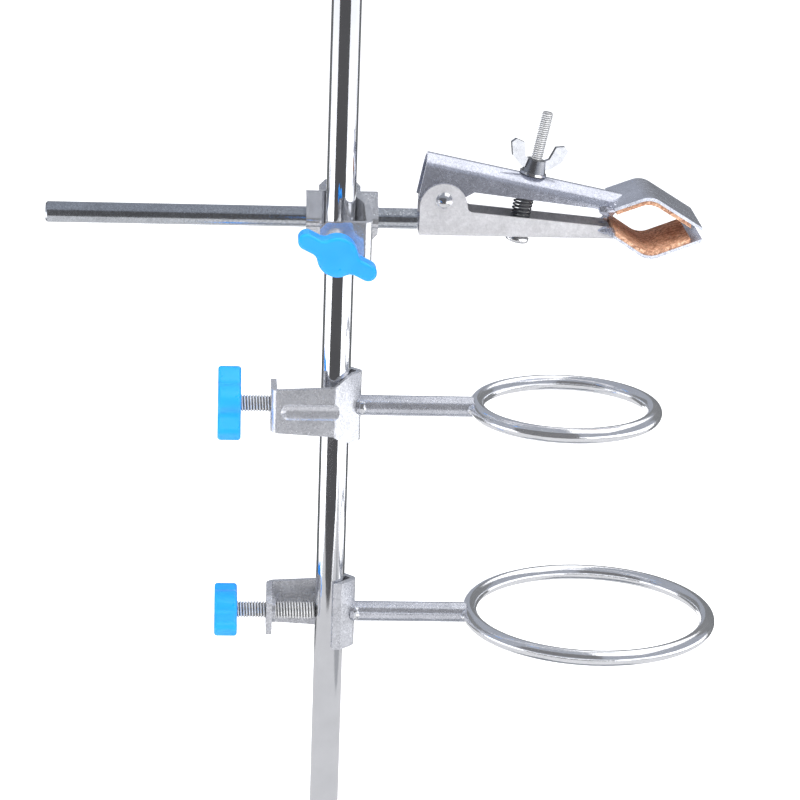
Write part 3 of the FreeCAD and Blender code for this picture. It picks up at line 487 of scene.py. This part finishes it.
def make_spring():
    """The coil around the bolt, bowed a little in its middle."""
    low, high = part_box("clamp_spring")
    centre = (low + high) / 2
    bottom = centre - BOLT_AXIS * SPRING_HALF
    lean = BOLT_AXIS.cross(Vector((0, 1, 0)))
    side = BOLT_AXIS.orthogonal().normalized()
    other = BOLT_AXIS.cross(side)
    steps = SPRING_COILS * SPRING_STEPS_PER_COIL
    path = []
    for i in range(steps + 1):
        share = i / steps
        angle = TURN * SPRING_COILS * share
        out = side * math.cos(angle) + other * math.sin(angle)
        bow = lean * SPRING_BOW * math.sin(math.pi * share)
        path.append(bottom + BOLT_AXIS * SPRING_HALF * 2 * share + bow
                    + out * (SPRING_OUTER - SPRING_WIRE))
    coil = tube("clamp_spring_coil", path, SPRING_WIRE, None, "spring_steel",
                ("clamp_spring",))
    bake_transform(coil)


def in_mm(*sizes):
    """Sizes given in millimetres, as metres."""
    return tuple(size * MM for size in sizes)


def bead(name, centre, size, body, seed, finish="chromed_ring"):
    """A lump of weld metal: an uneven ball, from its centre and three half sizes."""
    rings = 14
    around = 20
    unevenness = 0.22
    noise_scale = 1.9
    points = []
    for r in range(rings + 1):
        polar = math.pi * r / rings
        for a in range(around):
            angle = TURN * a / around
            out = Vector((math.sin(polar) * math.cos(angle), math.sin(polar) * math.sin(angle),
                          math.cos(polar)))
            lump = 1 + unevenness * noise.noise(out * noise_scale + Vector((seed, 0, 0)))
            points.append(Vector(centre) + Vector([o * s for o, s in zip(out, size)]) * lump)
    new_piece(name, points, tube_faces(rings + 1, around), body, finish)


def make_welds():
    """Beads where each arm meets its ring and its clamp, in front of it and behind it."""
    ring_bead = in_mm(2.0, 2.2, 1.7)
    clamp_bead = in_mm(1.5, 1.6, 2.4)
    for which, seed in (("upper", 1.0), ("lower", 5.0)):
        body = which + "_ring_support"
        arm_low, arm_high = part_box(which + "_ring_arm")
        z = (arm_low.z + arm_high.z) / 2
        ring_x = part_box(which + "_ring")[0].x + 1.2 * MM
        clamp_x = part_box(which + "_ring_clamp")[1].x + 0.4 * MM
        for side, where in ((-1, "front"), (1, "back")):
            bead(f"{which}_ring_weld_{where}", (ring_x, 2.9 * MM * side, z), ring_bead, body,
                 seed + side)
            bead(f"{which}_clamp_weld_{where}", (clamp_x, 2.6 * MM * side, z), clamp_bead,
                 body, seed + 2 + side)


def make_jaw_welds():
    """Welded and pinched flanks where the clamp's arms meet their jaws.

    Drop is how far the pinch sits below the weld, in millimetres.
    """
    weld = in_mm(2.2, 3.8, 1.3)
    for jaw, arm, body, drop, seed in (("upper_jaw", "clamp_upper_arm", "clamp_lever", 2.2, 9.0),
                                       ("lower_jaw", "clamp_lower_arm", "clamp_frame", 0, 14.0)):
        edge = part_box(jaw)[0].x
        rim = [v.co.z for v in frame["nodes"][jaw].data.vertices if v.co.x < edge + 0.1 * MM]
        z = sum(rim) / len(rim)
        pinch = in_mm(2.9, 0.9, 1.4 + 0.4 * drop)
        arm_low, arm_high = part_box(arm)
        for where, y, out in (("front", arm_low.y, -1), ("back", arm_high.y, 1)):
            bead(f"{jaw}_weld_{where}", (edge + 0.4 * MM, y + 2.6 * MM * out, z), weld, body,
                 seed + out, "plated_steel")
            bead(f"{jaw}_pinch_{where}", (edge - 1.4 * MM, y - 0.1 * MM * out, z - drop * MM),
                 pinch, body, seed + 2 * out, "plated_steel")


# ---------------------------------------------------------------- stage

def emitter(name, strength, colour=(1, 1, 1)):
    """A surface that gives a plain tone."""
    material = bpy.data.materials.new(name)
    material.use_nodes = True
    tree = material.node_tree
    tree.nodes.clear()
    light = add(tree, "ShaderNodeEmission")
    light.inputs["Color"].default_value = (*colour, 1)
    light.inputs["Strength"].default_value = strength
    out = add(tree, "ShaderNodeOutputMaterial")
    tree.links.new(light.outputs["Emission"], out.inputs["Surface"])
    return material


def card(name, centre, across, along, material):
    """A flat card that shows only in reflections, from its centre and two half sides."""
    centre, across, along = Vector(centre), Vector(across), Vector(along)
    corners = [centre - across - along, centre + across - along, centre + across + along,
               centre - across + along]
    mesh = bpy.data.meshes.new(name)
    mesh.from_pydata([tuple(c) for c in corners], [], [(0, 1, 2, 3)])
    mesh.materials.append(material)
    plane = bpy.data.objects.new(name, mesh)
    bpy.context.collection.objects.link(plane)
    plane.visible_camera = False
    plane.visible_shadow = False
    plane.visible_diffuse = False


def upright_card(name, azimuth, half_angle, distance, low, high, material):
    """A card standing around the rod; azimuth 0 is the front (-Y), positive to +X."""
    a = math.radians(azimuth)
    half = distance * math.tan(math.radians(half_angle))
    centre = Vector((ROD_X + distance * math.sin(a), -distance * math.cos(a), (low + high) / 2))
    across = Vector((math.cos(a), math.sin(a), 0)) * half
    card(name, centre, across, UP * (high - low) / 2, material)


def softbox(name, azimuth, elevation, distance, size, power):
    """A square lamp aimed at the clamps; reflections are left to the cards."""
    light = bpy.data.lights.new(name, "AREA")
    light.energy = power
    light.size = size
    lamp = bpy.data.objects.new(name, light)
    a, e = math.radians(azimuth), math.radians(elevation)
    out = Vector((math.sin(a) * math.cos(e), -math.cos(a) * math.cos(e), math.sin(e)))
    lamp.location = Vector((0, 0, 0.3)) + out * distance
    lamp.rotation_euler = out.to_track_quat("Z", "Y").to_euler()
    lamp.visible_glossy = False
    bpy.context.collection.objects.link(lamp)


def make_floor():
    """A pale flat floor that glows, so that it stays plain and keeps a soft shadow."""
    half = 7
    mesh = bpy.data.meshes.new("floor")
    mesh.from_pydata([(-half, -half, 0), (half, -half, 0), (half, half, 0), (-half, half, 0)],
                     [], [(0, 1, 2, 3)])
    floor = bpy.data.objects.new("floor", mesh)
    bpy.context.collection.objects.link(floor)
    material, tree, shader = new_material("floor_white")
    set_shader(shader, Base_Color=(0.9, 0.9, 0.9, 1), Roughness=0.9, Specular_IOR_Level=0.1,
               Emission_Color=(1, 1, 1, 1), Emission_Strength=0.82)
    mesh.materials.append(material)


def make_stage():
    """Floor, surroundings, lamps and the cards that shape the reflections."""
    make_floor()
    world = bpy.data.worlds.new("studio")
    bpy.context.scene.world = world
    world.use_nodes = True
    background = world.node_tree.nodes["Background"]
    background.inputs["Color"].default_value = (0.88, 0.94, 1.08, 1)
    background.inputs["Strength"].default_value = 0.33
    dark = emitter("flag_dark", 0.10, (0.97, 0.96, 1.0))
    grey = emitter("flag_grey", 0.16, (0.94, 0.97, 1.0))
    shade = emitter("flag_shade", 0.42, (0.94, 0.96, 1.0))
    table = emitter("table_tone", 0.70, (0.98, 0.98, 1.0))
    white = emitter("panel_white", 1.4)
    upright_card("flag_near", azimuth=-12, half_angle=43, distance=0.16, low=0.24, high=0.46,
                 material=dark)
    upright_card("flag_far", azimuth=-15, half_angle=43, distance=0.45, low=0.045, high=0.145,
                 material=dark)
    upright_card("flag_low_right", azimuth=75, half_angle=32, distance=0.45, low=0.0, high=0.06,
                 material=shade)
    for name, azimuth in (("flag_left_rear", -142), ("flag_right_rear", 142)):
        upright_card(name, azimuth, half_angle=26, distance=0.5, low=0.0, high=0.5,
                     material=grey)
    card("table_near", (ROD_X, 0, 1 * MM), (0.6, 0, 0), (0, 0.6, 0), table)
    card("panel_top_right", (0.5, 0.3, 1.2), (0.4, 0, -0.1), (0, 1.0, 0), white)
    softbox("top_light", azimuth=-20, elevation=75, distance=1.4, size=0.9, power=16)
    softbox("left_light", azimuth=-60, elevation=35, distance=1.6, size=0.9, power=14)
    softbox("right_light", azimuth=50, elevation=30, distance=1.6, size=0.9, power=14)
    bpy.context.scene.view_settings.view_transform = "Standard"


def make_camera():
    """The viewing angle: a little from the left and above, with a small roll."""
    azimuth = math.radians(-3.66)
    pitch = math.radians(17.27)
    roll = math.radians(2.03)
    from_rod_foot = Vector((-42.6, -1011.5, 607.1)) * MM
    spot = Vector((ROD_X, 0, 0)) + from_rod_foot
    forward = Vector((-math.sin(azimuth) * math.cos(pitch),
                      math.cos(azimuth) * math.cos(pitch), -math.sin(pitch)))
    level = Vector((math.cos(azimuth), math.sin(azimuth), 0))
    rise = level.cross(forward)
    right = level * math.cos(roll) + rise * math.sin(roll)
    top = rise * math.cos(roll) - level * math.sin(roll)
    data = bpy.data.cameras.new("camera")
    data.sensor_width = 36
    data.lens = 140.0
    data.clip_end = 50
    camera = bpy.data.objects.new("camera", data)
    turn = Matrix((right, top, -forward)).transposed()
    camera.matrix_world = Matrix.Translation(spot) @ turn.to_4x4()
    bpy.context.collection.objects.link(camera)
    bpy.context.scene.camera = camera


FINISHES = make_finishes()
paint_cad_nodes()
round_sheet_edges()
make_wing_screw_threads()
make_clamp_bolt()
make_spring()
make_welds()
make_jaw_welds()
make_stage()
make_camera()
